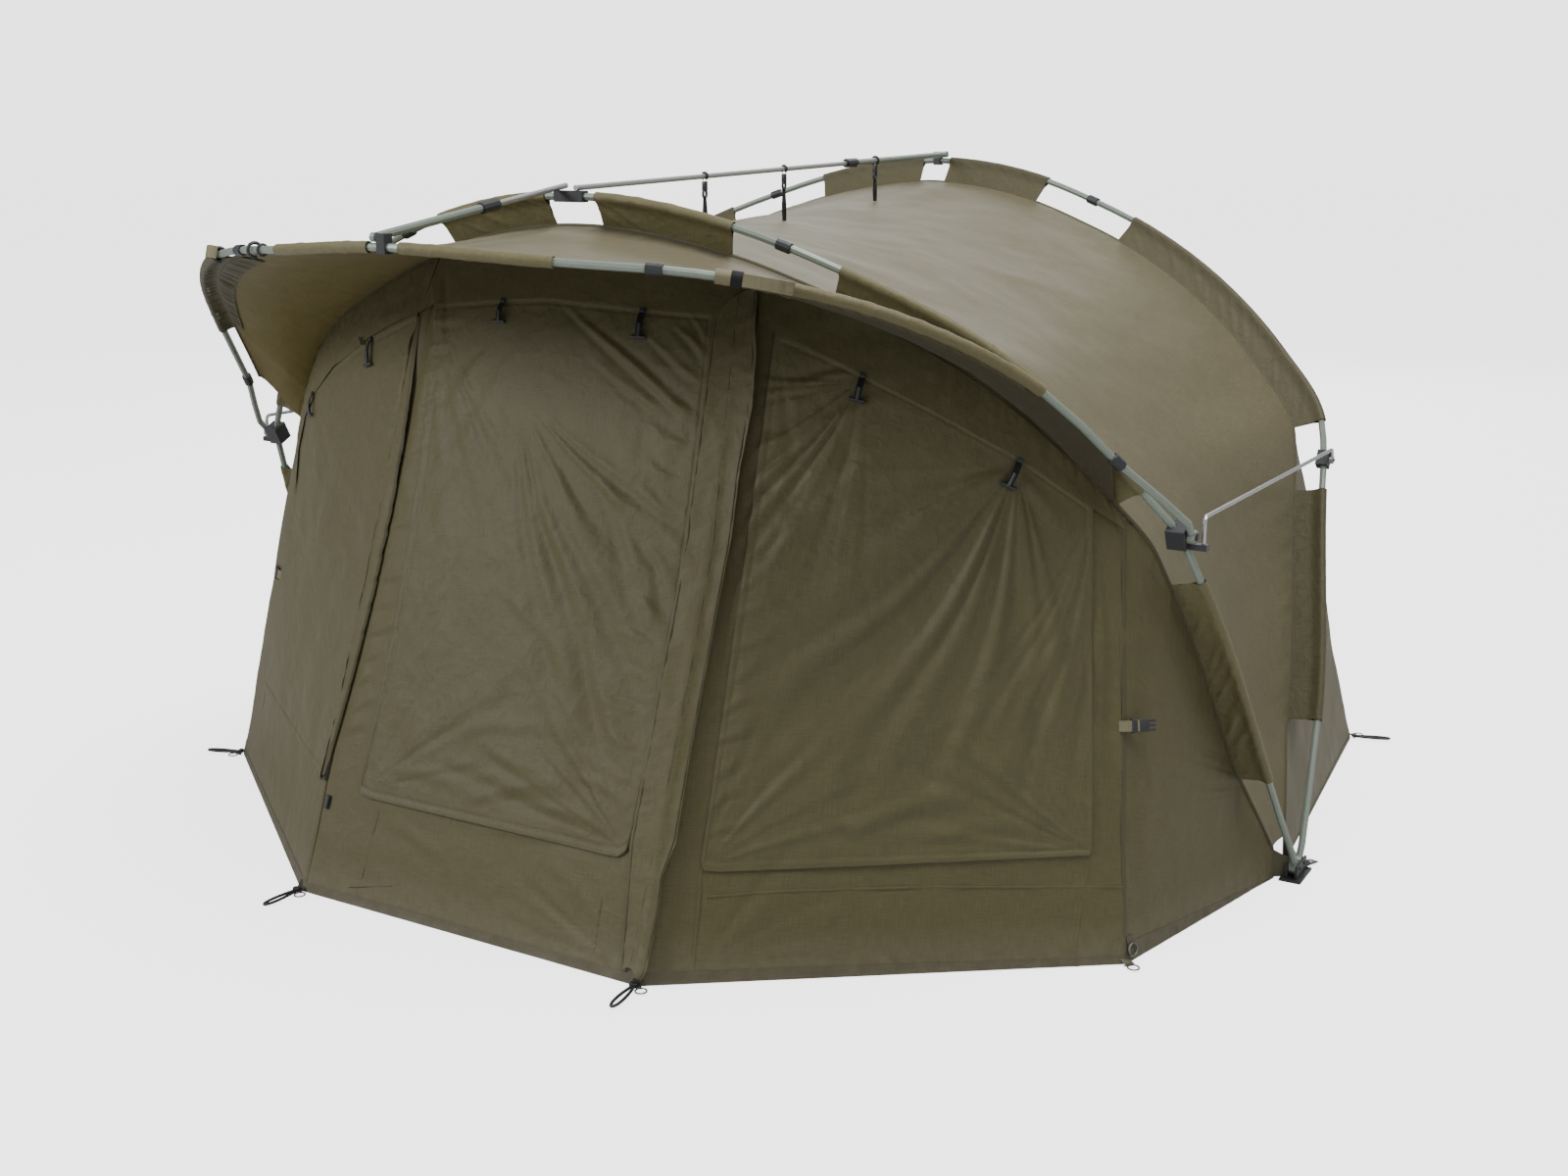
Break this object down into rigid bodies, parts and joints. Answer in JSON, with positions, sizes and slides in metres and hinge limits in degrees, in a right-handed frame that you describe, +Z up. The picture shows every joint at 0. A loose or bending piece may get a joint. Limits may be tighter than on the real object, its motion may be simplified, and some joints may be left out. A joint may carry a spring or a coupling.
{
  "type": "bivvy tent",
  "caption": "Arched shelter on hinged tube ribs, with a raised peak over a zipped front door, covered windows and roof and side tension bars.",
  "frame": {"origin": "on the ground, in the middle of the bounding box's bottom face: midway between the two foot blocks across, and between the peak's tip and the rear hem front to back", "axes": "+X to the tent's right seen from the front, -Y towards the door, +Z up"},
  "size_m": [3.2548, 3.0086, 1.776],
  "materials": {
    "canopy_fabric": "matt olive canopy cloth",
    "front_wall_fabric": "matt olive wall cloth",
    "window_cover_fabric": "matt olive cover cloth",
    "green_grey_tube": "satin green-grey coat",
    "bare_aluminium": "satin",
    "black_plastic": "matt black"
  },
  "bodies": {
    "base": {"foot_block_right": "black_plastic", "foot_block_left": "black_plastic", "roof_canopy": "canopy_fabric", "rear_canopy": "canopy_fabric", "wing_right": "front_wall_fabric", "wing_left": "front_wall_fabric", "front_panel_right": "front_wall_fabric", "front_panel_left": "front_wall_fabric", "door_panel": "front_wall_fabric", "door_window_cover": "window_cover_fabric", "side_window_cover_right": "window_cover_fabric", "side_window_cover_left": "window_cover_fabric", "storm_flap_right": "front_wall_fabric", "storm_flap_left": "front_wall_fabric"},
    "front_rib": {"front_leg_right": "green_grey_tube", "front_leg_left": "green_grey_tube", "front_shoulder_right": "green_grey_tube", "front_shoulder_left": "green_grey_tube", "front_crown_tube": "green_grey_tube", "front_collar_right": "black_plastic", "front_collar_left": "black_plastic", "nexus_right": "black_plastic", "nexus_left": "black_plastic", "front_crown_clip": "black_plastic", "front_sleeve": "canopy_fabric", "peak_canopy": "canopy_fabric"},
    "rear_rib": {"rear_leg_right": "green_grey_tube", "rear_leg_left": "green_grey_tube", "rear_shoulder_right": "green_grey_tube", "rear_shoulder_left": "green_grey_tube", "rear_crown_tube": "green_grey_tube", "rear_collar_right": "black_plastic", "rear_collar_left": "black_plastic", "side_bar_clip_right": "black_plastic", "side_bar_clip_left": "black_plastic", "rear_crown_clip": "black_plastic", "rear_sleeve": "canopy_fabric"},
    "peak_rib": {"peak_leg_right": "green_grey_tube", "peak_leg_left": "green_grey_tube", "peak_shoulder_right": "green_grey_tube", "peak_shoulder_left": "green_grey_tube", "peak_crown_tube": "green_grey_tube", "peak_low_collar_right": "black_plastic", "peak_low_collar_left": "black_plastic", "peak_high_collar_right": "black_plastic", "peak_high_collar_left": "black_plastic", "peak_crown_clip": "black_plastic", "peak_sleeve": "canopy_fabric"},
    "front_bar": {"front_roof_bar_outer": "green_grey_tube", "front_roof_bar_clamp": "black_plastic"},
    "front_bar_inner": {"front_roof_bar_inner": "bare_aluminium"},
    "rear_bar": {"rear_roof_bar_outer": "green_grey_tube", "rear_roof_bar_clamp": "black_plastic"},
    "rear_bar_inner": {"rear_roof_bar_inner": "bare_aluminium"},
    "side_bar_right_body": {"side_bar_right": "bare_aluminium"},
    "side_bar_left_body": {"side_bar_left": "bare_aluminium"},
    "zip_right": {"zip_slider_right": "black_plastic"},
    "zip_left": {"zip_slider_left": "black_plastic"}
  },
  "joints": [
    {"name": "frame_fold", "type": "hinge", "parent": "base", "child": "rear_rib", "pos_m": [0, 0.022, 0.03], "axis": [1, 0, 0], "range_deg": [0, 30], "deforming": ["roof_canopy", "rear_canopy"]},
    {"name": "front_fold", "type": "hinge", "parent": "base", "child": "front_rib", "pos_m": [0, -0.022, 0.03], "axis": [1, 0, 0], "range_deg": [-24, 0], "deforming": ["wing_right", "wing_left", "front_panel_right", "front_panel_left", "door_panel", "door_window_cover", "side_window_cover_right", "side_window_cover_left", "storm_flap_right", "storm_flap_left"]},
    {"name": "peak_fold", "type": "hinge", "parent": "front_rib", "child": "peak_rib", "pos_m": [0, -0.48306, 0.9588], "axis": [-1, 0, 0], "range_deg": [0, 28], "deforming": ["peak_canopy"]},
    {"name": "front_bar_swing", "type": "hinge", "parent": "peak_rib", "child": "front_bar", "pos_m": [-0.026, -1.49106, 1.6273], "axis": [1, 0, 0], "range_deg": [0, 60]},
    {"name": "front_bar_slide", "type": "slide", "parent": "front_bar", "child": "front_bar_inner", "axis": [0, -0.9911, -0.1329], "range_m": [0, 0.25]},
    {"name": "rear_bar_swing", "type": "hinge", "parent": "rear_rib", "child": "rear_bar", "pos_m": [0.026, 1.1445, 1.76587], "axis": [1, 0, 0], "range_deg": [-90, 0]},
    {"name": "rear_bar_slide", "type": "slide", "parent": "rear_bar", "child": "rear_bar_inner", "axis": [0, 0.9996, 0.0269], "range_m": [0, 0.5]},
    {"name": "side_bar_right_swing", "type": "hinge", "parent": "rear_rib", "child": "side_bar_right_body", "pos_m": [1.4624, 0.63264, 0.96316], "axis": [1, 0, 0], "range_deg": [-30, 0]},
    {"name": "side_bar_left_swing", "type": "hinge", "parent": "rear_rib", "child": "side_bar_left_body", "pos_m": [-1.4624, 0.63264, 0.96316], "axis": [1, 0, 0], "range_deg": [-30, 0]},
    {"name": "zip_right_slide", "type": "slide", "parent": "base", "child": "zip_right", "axis": [-0.0254, 0.3544, 0.9347], "range_m": [0, 1.1]},
    {"name": "zip_left_slide", "type": "slide", "parent": "base", "child": "zip_left", "axis": [0.0254, 0.3544, 0.9347], "range_m": [0, 1.1]}
  ],
  "couplings": [
    {"joint": "front_fold", "follows": "frame_fold", "ratio": -0.8},
    {"joint": "rear_bar_swing", "follows": "frame_fold", "ratio": -3},
    {"joint": "side_bar_right_swing", "follows": "frame_fold", "ratio": -1},
    {"joint": "side_bar_left_swing", "follows": "frame_fold", "ratio": -1}
  ]
}
